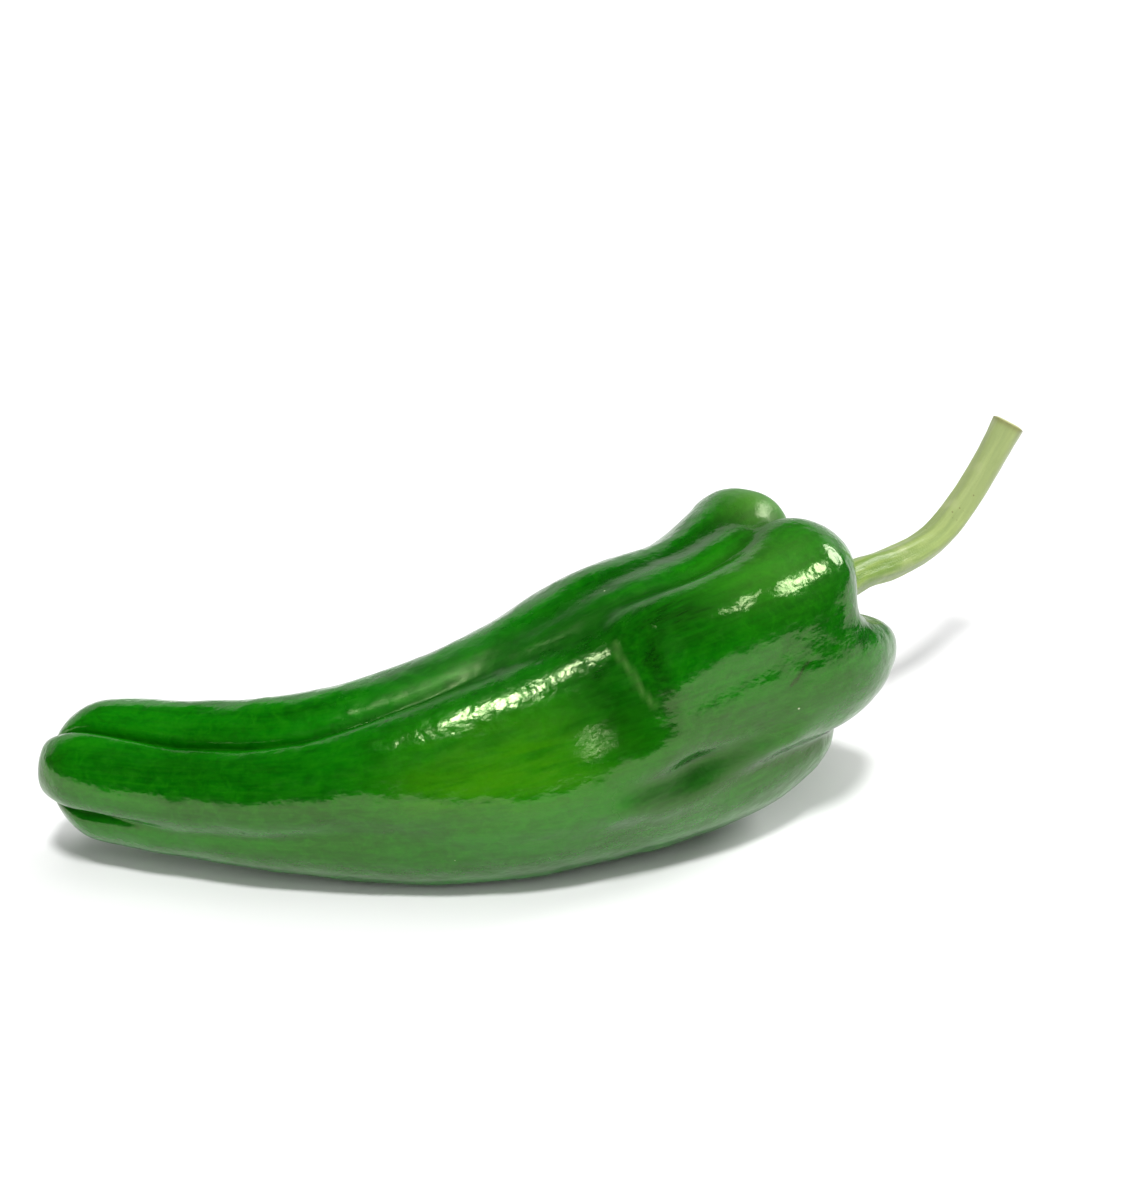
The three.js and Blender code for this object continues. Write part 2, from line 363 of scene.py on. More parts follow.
class Recipe:
    """A material's node tree, with short methods for the steps that the finishes share."""

    def __init__(self, name: str) -> None:
        """Starts a material with its shader and output.

        Args:
            name: name of the material.
        """
        self.material = bpy.data.materials.new(name)
        self.material.use_nodes = True
        self.tree = self.material.node_tree
        self.tree.nodes.clear()
        self.shader = self.tree.nodes.new("ShaderNodeBsdfPrincipled")
        output = self.tree.nodes.new("ShaderNodeOutputMaterial")
        self.tree.links.new(self.shader.outputs["BSDF"], output.inputs["Surface"])

    def put(self, target: Socket, value: Value) -> None:
        """Links a socket to the target, or sets the target where the value is plain.

        Args:
            target: the input to fill.
            value: a socket, a number or a colour.
        """
        if isinstance(value, Socket):
            self.tree.links.new(value, target)
        else:
            target.default_value = value

    def node(self, kind: str, inputs: dict[str | int, Value]) -> bpy.types.Node:
        """Adds a node with some of its inputs filled.

        Args:
            kind: Blender's name of the node.
            inputs: value of each input, by its name or number.

        Returns:
            The new node.
        """
        node = self.tree.nodes.new(kind)
        for key, value in inputs.items():
            self.put(node.inputs[key], value)
        return node

    def attribute(self, name: str, output: str = "Fac") -> Socket:
        """Reads one of the piece's own attributes.

        Args:
            name: name of the attribute.
            output: Fac for a number, or Vector for a place.

        Returns:
            The attribute's value.
        """
        node = self.node("ShaderNodeAttribute", {})
        node.attribute_name = name
        return node.outputs[output]

    def noise(self, place: Socket, clouds: Clouds) -> Socket:
        """Cloudy noise around one half.

        Args:
            place: where to read it, scaled by the clouds' squeeze first.
            clouds: the noise's numbers.

        Returns:
            The noise as a number.
        """
        if clouds.squeeze:
            place = self.node("ShaderNodeMapping", {"Vector": place, "Scale": clouds.squeeze}).outputs[0]
        node = self.node("ShaderNodeTexNoise", {
            "Vector": place, "Scale": clouds.scale, "Detail": clouds.layers,
            "Roughness": clouds.rough, "Distortion": clouds.bend})
        return node.outputs["Fac"]

    def dots(self, place: Socket, scale: float) -> Socket:
        """Distance from the nearest of scattered points, in units of their spacing."""
        return self.node("ShaderNodeTexVoronoi", {"Vector": place, "Scale": scale}).outputs["Distance"]

    def step(self, value: Value, low: float, high: float, start: float = 0.0, end: float = 1.0) -> Socket:
        """Soft step of a number.

        Args:
            value: the number.
            low: where the step starts. It may lie above high.
            high: where the step ends.
            start: result on low's side of the step.
            end: result on high's side of the step.

        Returns:
            The stepped number.
        """
        node = self.node("ShaderNodeMapRange", {
            "Value": value, "From Min": low, "From Max": high, "To Min": start, "To Max": end})
        node.interpolation_type = "SMOOTHSTEP"
        return node.outputs["Result"]

    def sum(self, kind: Sum, first: Value, second: Value) -> Socket:
        """Works out a sum of two numbers.

        Args:
            kind: the kind of sum.
            first: the first number.
            second: the second number.

        Returns:
            The result.
        """
        node = self.node("ShaderNodeMath", {0: first, 1: second})
        node.operation = kind.value
        return node.outputs["Value"]

    def plus(self, first: Value, second: Value) -> Socket:
        """Two numbers added."""
        return self.sum(Sum.PLUS, first, second)

    def times(self, first: Value, second: Value) -> Socket:
        """Two numbers multiplied."""
        return self.sum(Sum.TIMES, first, second)

    def over(self, share: Value, under: Value, upper: Value) -> Socket:
        """Lays one colour over another.

        Args:
            share: how much of the upper colour counts.
            under: the lower colour.
            upper: the upper colour.

        Returns:
            The resulting colour.
        """
        node = self.node("ShaderNodeMix", {"Factor": share})
        node.data_type = "RGBA"
        below, above = [s for s in node.inputs if s.type == "RGBA"]
        self.put(below, under)
        self.put(above, upper)
        return next(s for s in node.outputs if s.type == "RGBA")

    def relief(self, height: Socket, distance: float) -> None:
        """Gives the shader's normal a fine relief, in metres."""
        node = self.node("ShaderNodeBump", {"Strength": 1.0, "Distance": distance, "Height": height})
        self.put(self.shader.inputs["Normal"], node.outputs["Normal"])


@dataclass(frozen=True)
class SkinFinish:
    """Glossy green skin, mottled and streaked along the pod, with its patches of other greens and of
    painted shade and sheen.
    """

    deep: str = "005300"
    fresh: str = "046c02"
    light: str = "1d7c05"
    # Yellow green of the skin's patches, and of the painted sheen on the crown.
    sunlit: str = "357c04"
    olive: str = "3a5812"
    # Dark green of random streaks, blots and grain, and of the painted shade in grooves and recesses.
    shade: str = "033301"
    # Pale green of the painted sheen and of the painted highlight along a crease.
    pale: str = "7fa65a"
    scar: str = "0c2404"
    speck: str = "c9d6b0"
    sheen_tint: str = "e4f8bc"
    clouds: Clouds = Clouds(1.0, 3.0, 0.55, 0.4, (0.075, 0.075, 0.03))
    streaks: Clouds = Clouds(1.0, 3.0, 0.6, 0.3, (0.55, 0.55, 0.035))
    fibres: Clouds = Clouds(1.0, 2.0, 0.5, 0.0, (1.5, 1.5, 0.12))
    breaks: Clouds = Clouds(1.0, 3.0, 0.6, 0.5, (0.3, 0.3, 0.06))
    blots: Clouds = Clouds(0.45, 3.0, 0.65, 0.6)
    grain: Clouds = Clouds(1.6, 2.0, 0.6)
    speck_clouds: Clouds = Clouds(0.12, 0.0)
    haze: Clouds = Clouds(0.5, 3.0, 0.6)
    pores: Clouds = Clouds(1.1, 2.0, 0.6)
    uneven: Clouds = Clouds(0.36, 2.0, 0.5)
    bubbles: Clouds = Clouds(0.34, 1.5, 0.45, 0.3)
    streak_share: float = 0.3
    blot_share: float = 0.3
    broken_share: float = 0.7
    # Strength of the painted shade in the grooves.
    groove_shade_share: float = 0.55
    fibre_share: float = 0.16
    grain_share: float = 0.1
    speck_scale: float = 0.2
    roughness: tuple[float, float] = (0.15, 0.24)
    dullness: float = 0.27
    refraction: float = 1.68
    pore_height: float = 0.2
    fibre_height: float = 0.06
    pucker_height: float = 1.6
    relief: float = 0.0002

    def material(self) -> bpy.types.Material:
        """Builds the skin's material: its greens, its gloss and its fine relief.

        Returns:
            The finished material.
        """
        r = Recipe("pod_skin")
        straight = r.attribute("straight", "Vector")
        fibres = r.noise(straight, self.fibres)
        r.put(r.shader.inputs["Base Color"], self.greens(r, straight, fibres))
        gloss = r.step(r.noise(straight, self.haze), 0.3, 0.75, *self.roughness)
        dull = r.times(r.attribute(Mark.DULL.value), self.dullness)
        r.put(r.shader.inputs["Roughness"], r.plus(gloss, dull))
        r.shader.inputs["IOR"].default_value = self.refraction
        r.shader.inputs["Specular Tint"].default_value = colour(self.sheen_tint)
        pores = r.times(r.noise(straight, self.pores), self.pore_height)
        uneven = r.plus(r.noise(straight, self.uneven), r.times(fibres, self.fibre_height))
        puckered = r.times(r.attribute(Mark.PUCKER.value), self.pucker_height)
        bubbles = r.times(r.noise(straight, self.bubbles), puckered)
        r.relief(r.plus(r.plus(uneven, pores), bubbles), self.relief)
        return r.material

    def greens(self, r: Recipe, straight: Socket, fibres: Socket) -> Socket:
        """Mixes the skin's colour.

        Clouds mix the two main greens, and streaks and blots go over them. Then each patch's
        attribute, broken up by more clouds, lays its own colour over them: yellow green that is partly
        painted sheen, olive, and painted shade. Painted shade in the grooves, the painted sheen and the
        painted highlight along a crease, the scarred lines, the fibres and the grain follow, and rare
        specks come last.

        Args:
            r: the material's recipe.
            straight: place on the straightened pod.
            fibres: the fine fibres along the pod.

        Returns:
            The colour of the skin.
        """
        light, shade = colour(self.light), colour(self.shade)
        clouds = r.noise(straight, self.clouds)
        skin = r.over(r.step(clouds, 0.36, 0.66), colour(self.deep), colour(self.fresh))
        streaks = r.noise(straight, self.streaks)
        skin = r.over(r.step(streaks, 0.5, 0.75, 0.0, self.streak_share), skin, light)
        skin = r.over(r.step(streaks, 0.5, 0.25, 0.0, self.streak_share), skin, shade)
        blots = r.noise(straight, self.blots)
        skin = r.over(r.step(blots, 0.45, 0.7, 0.0, self.blot_share), skin, light)
        skin = r.over(r.step(blots, 0.5, 0.28, 0.0, self.blot_share), skin, shade)
        broken = r.times(r.step(r.noise(straight, self.breaks), 0.3, 0.62), self.broken_share)
        broken = r.plus(broken, 1 - self.broken_share)
        # Yellow green that is partly painted sheen, real olive, and painted shade with dark reflections.
        for mark, code in ((Mark.YELLOW_AND_SHEEN, self.sunlit), (Mark.OLIVE, self.olive), (Mark.PAINTED_SHADE, self.shade)):
            skin = r.over(r.times(r.attribute(mark.value), broken), skin, colour(code))
        # Painted shade: the grooves turn darker.
        skin = r.over(r.step(r.attribute("groove"), 0.25, 1.0, 0.0, self.groove_shade_share), skin, shade)
        # Painted sheen, and a painted highlight along a crease.
        skin = r.over(r.attribute(Mark.PAINTED_SHEEN.value), skin, colour(self.pale))
        skin = r.over(r.attribute(Mark.SCAR.value), skin, colour(self.scar))
        skin = r.over(r.step(fibres, 0.35, 0.7, 0.0, self.fibre_share), skin, light)
        grain = r.noise(straight, self.grain)
        skin = r.over(r.step(grain, 0.3, 0.7, self.grain_share, 0.0), skin, shade)
        rare = r.step(r.noise(straight, self.speck_clouds), 0.52, 0.6)
        specks = r.times(r.step(r.dots(straight, self.speck_scale), 0.04, 0.02), rare)
        return r.over(specks, skin, colour(self.speck))


@dataclass(frozen=True)
class CalyxFinish:
    """Dull green calyx that turns brown and papery at its edge."""

    green: str = "3d5224"
    grey: str = "6d7350"
    brown: str = "837446"
    dark: str = "20260f"
    clouds: Clouds = Clouds(0.35, 4.0, 0.65)
    stains: Clouds = Clouds(0.8, 3.0, 0.6)
    crumple: Clouds = Clouds(1.1, 4.0, 0.6)
    stain_share: float = 0.7
    brown_share: float = 0.9
    roughness: tuple[float, float] = (0.4, 0.65)
    relief: float = 0.0004

    def material(self) -> bpy.types.Material:
        """Builds the calyx's material: green to grey in clouds, brown by the edge attribute.

        Returns:
            The finished material.
        """
        r = Recipe("calyx")
        straight = r.attribute("straight", "Vector")
        clouds = r.noise(straight, self.clouds)
        skin = r.over(r.step(clouds, 0.35, 0.65), colour(self.green), colour(self.grey))
        stains = r.step(r.noise(straight, self.stains), 0.5, 0.32, 0.0, self.stain_share)
        skin = r.over(stains, skin, colour(self.dark))
        rim = r.plus(r.attribute("edge"), r.times(r.plus(clouds, -0.5), 0.5))
        skin = r.over(r.step(rim, 0.84, 1.06, 0.0, self.brown_share), skin, colour(self.brown))
        r.put(r.shader.inputs["Base Color"], skin)
        r.put(r.shader.inputs["Roughness"], r.step(clouds, 0.3, 0.7, *self.roughness))
        r.relief(r.noise(straight, self.crumple), self.relief)
        return r.material


@dataclass(frozen=True)
class StemFinish:
    """Pale lime stem, finely streaked and paler with age, with brown flecks and a paler cut end."""

    lime: str = "88a04e"
    green: str = "6a8838"
    pale: str = "b4bc88"
    brown: str = "6b5a30"
    cut: str = "b7bf7e"
    pith: str = "7c8a4a"
    streaks: Clouds = Clouds(1.0, 3.0, 0.6, 0.0, (0.9, 0.9, 0.08))
    clouds: Clouds = Clouds(0.12, 3.0)
    fleck_clouds: Clouds = Clouds(0.2, 2.0)
    grain: Clouds = Clouds(2.2, 3.0)
    cloud_share: float = 0.6
    aged_share: float = 0.55
    rim_share: float = 0.5
    fleck_scale: float = 0.7
    grain_height: float = 0.4
    roughness: float = 0.38
    relief: float = 0.00018

    def material(self) -> bpy.types.Material:
        """Builds the stem's material: streaked greens, flecks, and rings on the cut end.

        Returns:
            The finished material.
        """
        r = Recipe("stem")
        straight = r.attribute("straight", "Vector")
        streaks = r.noise(straight, self.streaks)
        skin = r.over(r.step(streaks, 0.35, 0.65), colour(self.green), colour(self.lime))
        clouds = r.step(r.noise(straight, self.clouds), 0.5, 0.7, 0.0, self.cloud_share)
        skin = r.over(clouds, skin, colour(self.pale))
        skin = r.over(r.times(r.attribute("aged"), self.aged_share), skin, colour(self.pale))
        rare = r.step(r.noise(straight, self.fleck_clouds), 0.54, 0.64)
        flecks = r.times(r.step(r.dots(straight, self.fleck_scale), 0.16, 0.1), rare)
        skin = r.over(flecks, skin, colour(self.brown))
        cut = r.attribute("cut")
        end = r.over(r.step(cut, 0.45, 0.6), colour(self.pith), colour(self.cut))
        skin = r.over(r.step(cut, 0.02, 0.06), skin, end)
        skin = r.over(r.times(r.attribute("rim"), self.rim_share), skin, colour(self.brown))
        r.put(r.shader.inputs["Base Color"], skin)
        r.shader.inputs["Roughness"].default_value = self.roughness
        r.relief(r.plus(streaks, r.times(r.noise(straight, self.grain), self.grain_height)), self.relief)
        return r.material


@dataclass(frozen=True)
class TableFinish:
    """Matt white table top."""

    white: str = "f0f0f0"
    roughness: float = 0.85
    sheen: float = 0.15

    def material(self) -> bpy.types.Material:
        """Builds the plain white material.

        Returns:
            The finished material.
        """
        r = Recipe("table_white")
        r.shader.inputs["Base Color"].default_value = colour(self.white)
        r.shader.inputs["Roughness"].default_value = self.roughness
        r.shader.inputs["Specular IOR Level"].default_value = self.sheen
        return r.material


POD_STATIONS = (0, 12, 31, 50, 68, 86, 104, 112, 127, 141, 153, 162)


@dataclass
class Pod:
    """The lobed pod: its centre line, lobes, ends, swellings, fine relief, strokes and patches, with
    painted shade and sheen.
    """

    line: Line = Line(POD_STATIONS, (
        (-92, 30, 17.7), (-82, 25.5, 17.8), (-65, 18, 17.8), (-47.5, 12, 18.3), (-29.5, 9.5, 19.8),
        (-11, 9.5, 22.5), (6.6, 12.1, 25.9), (14.2, 13.8, 27.2), (28.5, 17.5, 29.5), (41.3, 22.4, 32.5),
        (51.2, 27, 35.5), (59, 31.4, 38)))
    length: float = 163.0
    top: Lobe = Lobe((108, 112, 118, 118, 118, 117, 116, 116, 115, 113, 112, 110),
                     (10, 13, 14.2, 16, 18.5, 21.6, 24.6, 25.3, 25.8, 28, 32, 32),
                     (0.66,) * 12, -1, -3)
    ridge: Lobe = Lobe((78, 78, 78, 78, 78, 80, 79, 78, 77, 78, 80, 82),
                       (6, 7, 8, 9, 12, 19.5, 23.9, 25, 26.2, 28, 28, 25),
                       (0.5,) * 12, 0, -2.5)
    front: Lobe = Lobe((25, 24, 16, 20, 33, 38, 44, 48, 50, 53, 58, 60),
                       (13.5, 15.2, 15.4, 17.2, 19.8, 22.9, 25.8, 30.2, 31.9, 31.8, 33, 31.5),
                       (0.47, 0.5, 0.5, 0.5, 0.53, 0.58, 0.58, 0.38, 0.34, 0.42, 0.55, 0.6), 0.9, -2)
    wall: Lobe = Lobe((15, 15, 15, 15, 18, 15, 19, 30, 32, 36, 40, 43),
                      (10, 12, 13, 15, 19.6, 22.8, 25.2, 26.8, 27.6, 28.9, 29.6, 28.5),
                      (0.6, 0.6, 0.6, 0.6, 0.5, 0.53, 0.53, 0.45, 0.44, 0.48, 0.55, 0.6), 0, -1)
    fold: Lobe = Lobe((15, 15, 15, 12, 5, -1, 0, 4, 9, 15, 23, 28),
                      (10, 12, 13, 15, 20, 23.9, 26.4, 25.7, 26.1, 28, 29.3, 29),
                      (0.6, 0.6, 0.6, 0.55, 0.45, 0.44, 0.45, 0.6, 0.64, 0.6, 0.6, 0.6), 0, 0)
    belly: Lobe = Lobe((-52, -52, -52, -52, -50, -48, -50, -52, -56, -55, -46, -42),
                       (10, 13, 14.6, 16.9, 20.6, 24.3, 27.2, 27.8, 27.6, 25, 21, 18),
                       (0.66, 0.66, 0.66, 0.67, 0.69, 0.7, 0.7, 0.69, 0.67, 0.66, 0.66, 0.66), -1.4, -12)
    back: Lobe = Lobe((212, 214, 218, 224, 229, 231, 230, 230, 228, 224, 219, 215),
                      (10, 13, 14.6, 17, 20.3, 24, 27.2, 28, 28.5, 28, 26, 24),
                      (0.74,) * 12, -3, -1)
    sharpness: float = 26.0
    groove_depth: tuple[float, ...] = (2.2, 2, 1.5, 1.2, 1, 0.9, 0.9, 1, 1.1, 1.2, 1.5, 2)
    least_reach: float = 1.0
    parting: tuple[float, float] = (142, 158)
    shallow: tuple[float, float, float, float] = (14, 28, 96, 110)
    swellings: tuple[Swelling, ...] = (
        Swelling(112, 100, 12, 12, 0.8), Swelling(160, 16, 6, 6, 1.5), Swelling(106, 30, 3, 11, -1),
        Swelling(149, 48, 8, 7, 1.2), Swelling(133, 52, 5, 5, 0.6), Swelling(113, -4, 11, 3.2, -1.6))
    tip: End = End(13, 2.3, 3, 2.5, 0.2, 1.5)
    crown: End = End(26, 2.5, 6, 3, 0.3, 5.5)
    level_share: float = 0.22
    lobed_share: float = 0.8
    floor_level: float = 1
    middle: tuple[float, float] = (4.78, 21.96)
    relief: tuple[Waves, ...] = (
        Waves(24, 0.17, 11, 1.5), Waves(9, 0.05, 12, 1.3), Waves(3.4, 0.016, 13, 1.2))
    creases: tuple[Crease, ...] = (
        Crease(((105.9, 57), (105.6, 51), (106.3, 43), (106.5, 36), (107.5, 28), (107.8, 21)), 0.6, 0.13),
        Crease(((30, -22), (42, -14), (48, -15), (57, -5), (68, -6), (80, -3), (92, -6)), 2.4, -0.3),
        Crease(((100, 6), (106, 5), (112, 5), (119, 7), (125, 9)), 3.0, -0.4),
        Crease(((100, -3), (106, -5), (112, -5), (119, -3), (127, 0)), 2.8, -0.35),
        Crease(((99, -13), (106, -16), (114, -15.5), (121, -12), (129, -8)), 3.2, 1.15))
    # Strokes: a painted highlight along the crease, painted shade in dark bands beside it and on the fold,
    # duller gloss on the fold, and two scars.
    strokes: tuple[tuple[Mark, Crease], ...] = (
        (Mark.PAINTED_SHEEN,
         Crease(((105.9, 57), (105.6, 51), (106.3, 43), (106.5, 36), (107.5, 28)), 0.35, 0.22)),
        (Mark.PAINTED_SHADE, Crease(((109, 51), (109.6, 40), (109.9, 30), (109.6, 18)), 1.8, 0.65)),
        (Mark.PAINTED_SHADE, Crease(((102, -8), (109, -11), (115, -9.5), (122, -7)), 2.6, 0.5)),
        (Mark.DULL, Crease(((101, -7), (107, -10.5), (115, -9.5), (124, -6)), 3.2, 1.2)),
        (Mark.SCAR, Crease(((130.8, 17.5), (131.8, 19), (133, 21.5), (134.4, 23)), 0.32, 1.0)),
        (Mark.SCAR, Crease(((66.8, 61), (66.9, 61.4)), 0.3, 0.8)))
    # Patches: yellow green, the one on the crown painted sheen; olive at the tip; painted shade in the
    # recess, on the shoulder, near the tip and on the fold; painted sheen on the shoulder and knob; pucker
    # and duller gloss.
    patches: tuple[Patch, ...] = (
        Patch(Mark.YELLOW_AND_SHEEN, 84, 24, 15, 8, 0.85), Patch(Mark.YELLOW_AND_SHEEN, 90, 12, 12, 4, 0.4),
        Patch(Mark.YELLOW_AND_SHEEN, 133, 62, 12, 9, 0.35), Patch(Mark.YELLOW_AND_SHEEN, 75, 20, 8, 6, 0.4),
        Patch(Mark.YELLOW_AND_SHEEN, 152, 98, 9, 9, 0.5), Patch(Mark.OLIVE, 0, 25, 6, 14, 0.5),
        Patch(Mark.PAINTED_SHADE, 102, 36, 5, 12, 0.85), Patch(Mark.PAINTED_SHADE, 112, 62, 9, 6, 0.4),
        Patch(Mark.PAINTED_SHADE, 40, 40, 25, 8, 0.35), Patch(Mark.PAINTED_SHADE, 120, 2, 14, 4, 0.3),
        Patch(Mark.PAINTED_SHADE, 117, 52, 8, 6, 0.8), Patch(Mark.PAINTED_SHEEN, 150, 94, 9, 9, 0.12),
        Patch(Mark.PAINTED_SHEEN, 140, 58, 14, 7, 0.12), Patch(Mark.PAINTED_SHEEN, 154, 98, 7, 9, 0.12),
        Patch(Mark.PUCKER, 82, 50, 20, 9, 0.9), Patch(Mark.PUCKER, 140, 52, 16, 12, 0.7),
        Patch(Mark.DULL, 97, 20, 7, 5, 0.2), Patch(Mark.DULL, 80, 86, 18, 8, 1.0),
        Patch(Mark.DULL, 112, 76, 12, 6, 0.8), Patch(Mark.DULL, 154, 100, 9, 12, 0.9))
    calm_crown: tuple[float, float] = (0.45, 0.7)
    groove_shade_start: tuple[float, float] = (0.2, 0.5)
    grid: tuple[int, int, int, int] = (288, 30, 216, 82)
    finish: SkinFinish = SkinFinish()

    @property
    def lobes(self) -> tuple[Lobe, ...]:
        """All lobes, from the top one round by the front."""
        return self.top, self.ridge, self.front, self.wall, self.fold, self.belly, self.back

    def section(self, at: np.ndarray, turn: np.ndarray) -> tuple[np.ndarray, list[np.ndarray], np.ndarray]:
        """Radius of the skin in its section.

        A lobe is a circle off the centre line, seen from it: out times the cosine, plus the root
        of the circle's radius squared less out times the sine, squared. The lobes join as the
        root of the sum of their powers. Where no lobe has the whole of that sum, a groove goes
        deeper. The front lobes count as one up to the parting, and with the belly where shallow.

        Args:
            at: stations.
            turn: turns in radians, of the same shape.

        Returns:
            Radius, each lobe's share of it, and how much of a groove each place is.
        """
        reaches = []
        for lobe in self.lobes:
            reach = smooth(POD_STATIONS, lobe.reach, at)
            off = turn - np.radians(smooth(POD_STATIONS, lobe.turn, at))
            rounded = smooth(POD_STATIONS, lobe.roundness, at) * reach
            out = reach - rounded
            inside = np.maximum(rounded**2 - (out * np.sin(off)) ** 2, 0)
            reaches.append(out * np.cos(off) + np.sqrt(inside))
        powers = [np.maximum(r, self.least_reach) ** self.sharpness for r in reaches]
        total = sum(powers)
        shares = [p / total for p in powers]
        apart = sum(w**2 for w in shares)
        top, ridge, *fronts, belly, back = shares
        front = sum(fronts)
        fade_in, shallow_from, shallow_to, fade_out = self.shallow
        shallow = (np.clip((at - fade_in) / (shallow_from - fade_in), 0, 1)
                   * np.clip((fade_out - at) / (fade_out - shallow_to), 0, 1))
        joined = top**2 + ridge**2 + front**2 + belly**2 + back**2 + 2 * shallow * front * belly
        start, end = self.parting
        groove = 2 * (1 - joined - np.clip((at - start) / (end - start), 0, 1) * (apart - joined))
        radius = total ** (1 / self.sharpness) - groove * smooth(POD_STATIONS, self.groove_depth, at)
        for bump in self.swellings:
            off = turn - math.radians(bump.turn)
            across = radius * np.arctan2(np.sin(off), np.cos(off))
            radius = radius + bump.height * np.exp(-((at - bump.at) / bump.length) ** 2
                                                   - (across / bump.width) ** 2)
        return radius, shares, groove

    def end_push(self, end: End, pushes: list[float], share: np.ndarray, shares: list[np.ndarray],
                 groove: np.ndarray) -> np.ndarray:
        """How far an end stands out along the centre line.

        It is level near the middle of the section, and further out it goes over to the lobes'
        own pushes, each by its share, less the scallop in the grooves.

        Args:
            end: the end's form.
            pushes: each lobe's push at this end.
            share: distance from the centre line as a share of the section.
            shares: each lobe's share of the section.
            groove: how much of a groove each place is.

        Returns:
            The push in millimetres.
        """
        level = sum(pushes) / len(pushes) - end.sink
        lobed = sum(w * p for w, p in zip(shares, pushes)) - end.scallop * groove
        return level + (lobed - level) * ease(share, self.level_share, self.lobed_share)

    def point(self, at: np.ndarray, share: np.ndarray, turn: np.ndarray, lift: np.ndarray | float = 0.0,
              raised: np.ndarray | float = 0.0) -> np.ndarray:
        """Point of the skin, in millimetres of the frame.

        It is the centre line's place at the station, moved along by the lift and by the end's
        hollow and push, plus the section's radius times the share, along side by the cosine of
        the turn and along up by its sine.

        Args:
            at: stations.
            share: distance from the centre line as a share of the section.
            turn: turns in radians.
            lift: how far it stands off along the centre line.
            raised: how far it stands off the section's radius.

        Returns:
            Points, with the axis of space last.
        """
        radius, shares, groove = self.section(at, turn)
        into_tip = np.clip(1 - at / self.tip.length, 0, 1)
        into_crown = np.clip((at - self.length + self.crown.length) / self.crown.length, 0, 1)
        beyond = np.maximum(share - self.level_share, 0)
        tip_push = self.end_push(self.tip, [lobe.tip for lobe in self.lobes], share, shares, groove)
        crown_push = self.end_push(self.crown, [lobe.crown for lobe in self.lobes], share, shares, groove)
        tip_shift = self.tip.hollow * np.exp(-((beyond / self.tip.hollow_width) ** 2)) - into_tip * tip_push
        crown_shift = (into_crown * crown_push
                       - self.crown.hollow * np.exp(-((beyond / self.crown.hollow_width) ** 2)))
        along = at + lift + np.where(at < self.length / 2, tip_shift, crown_shift)
        centre, _, side, up = self.line.frames(along)
        out = (share * (radius + raised))[..., None]
        place = centre + out * (np.cos(turn)[..., None] * side + np.sin(turn)[..., None] * up)
        return place - np.array([self.middle[0], self.middle[1], self.floor_level])

    def crown_station(self, share: np.ndarray) -> np.ndarray:
        """Station at which the crown has narrowed to a share: its length times a superellipse."""
        bluntness = self.crown.bluntness
        return (self.length - self.crown.length
                + self.crown.length * np.maximum(1 - share**bluntness, 0) ** (1 / bluntness))

    def rows(self) -> tuple[np.ndarray, np.ndarray]:
        """Stations and shares of the grid's rows, closer together where the ends round off.

        Returns:
            Station and share of each row, from the tip's pole to the crown's.
        """
        _, tip, body, crown = self.grid
        a = np.linspace(0, math.pi / 2, tip + 1)
        power = 2 / self.tip.bluntness
        at_tip = self.tip.length * (1 - np.cos(a) ** power)
        at_body = np.linspace(self.tip.length, self.length - self.crown.length, body + 1)[1:]
        inwards = np.sin(np.linspace(math.pi / 2, 0, crown + 1)[1:])
        narrowing = np.maximum(inwards, 0) ** (2 / self.crown.bluntness)
        at = np.concatenate([at_tip, at_body, self.crown_station(narrowing)])
        share = np.concatenate([np.sin(a) ** power, np.ones(body), narrowing])
        return at, share

    def build(self) -> bpy.types.Object:
        """Makes the pod's mesh, with its fine relief and the attributes that its finish reads.

        Returns:
            The pod as one closed piece.
        """
        turns = np.linspace(0, 2 * math.pi, self.grid[0], endpoint=False)
        row_at, row_share = self.rows()
        at, turn = np.meshgrid(row_at, turns, indexing="ij")
        share = np.repeat(row_share[:, None], len(turns), axis=1)
        radius, _, groove = self.section(at, turn)
        out = share * radius
        straight = np.stack([out * np.cos(turn), out * np.sin(turn), at], -1)
        raised = sum(waves.heights(straight) for waves in self.relief)
        raised = raised + sum(crease.heights(at, turn, radius) for crease in self.creases)
        near_calyx = np.where(at > self.length / 2, 1 - ease(share, *self.calm_crown), 0.0)
        place = self.point(at, share, turn, 0.0, raised * (1 - near_calyx))
        place[..., 2] = np.maximum(place[..., 2], 0.0)
        # The groove attribute is painted shade: the finish darkens the skin in the grooves by it.
        values = {"straight": straight, "groove": groove * ease(share, *self.groove_shade_start)}
        for mark in Mark:
            values[mark.value] = np.zeros(at.shape)
        for patch in self.patches:
            values[patch.mark.value] += patch.weights(at, turn, radius)
        for mark, stroke in self.strokes:
            values[mark.value] += stroke.heights(at, turn, radius)
        for mark in Mark:
            values[mark.value] = np.clip(values[mark.value], 0, 1)
        piece = closed_skin("pod_skin", place, values)
        piece.data.materials.append(self.finish.material())
        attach(piece, "root")
        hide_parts("pod")
        return piece


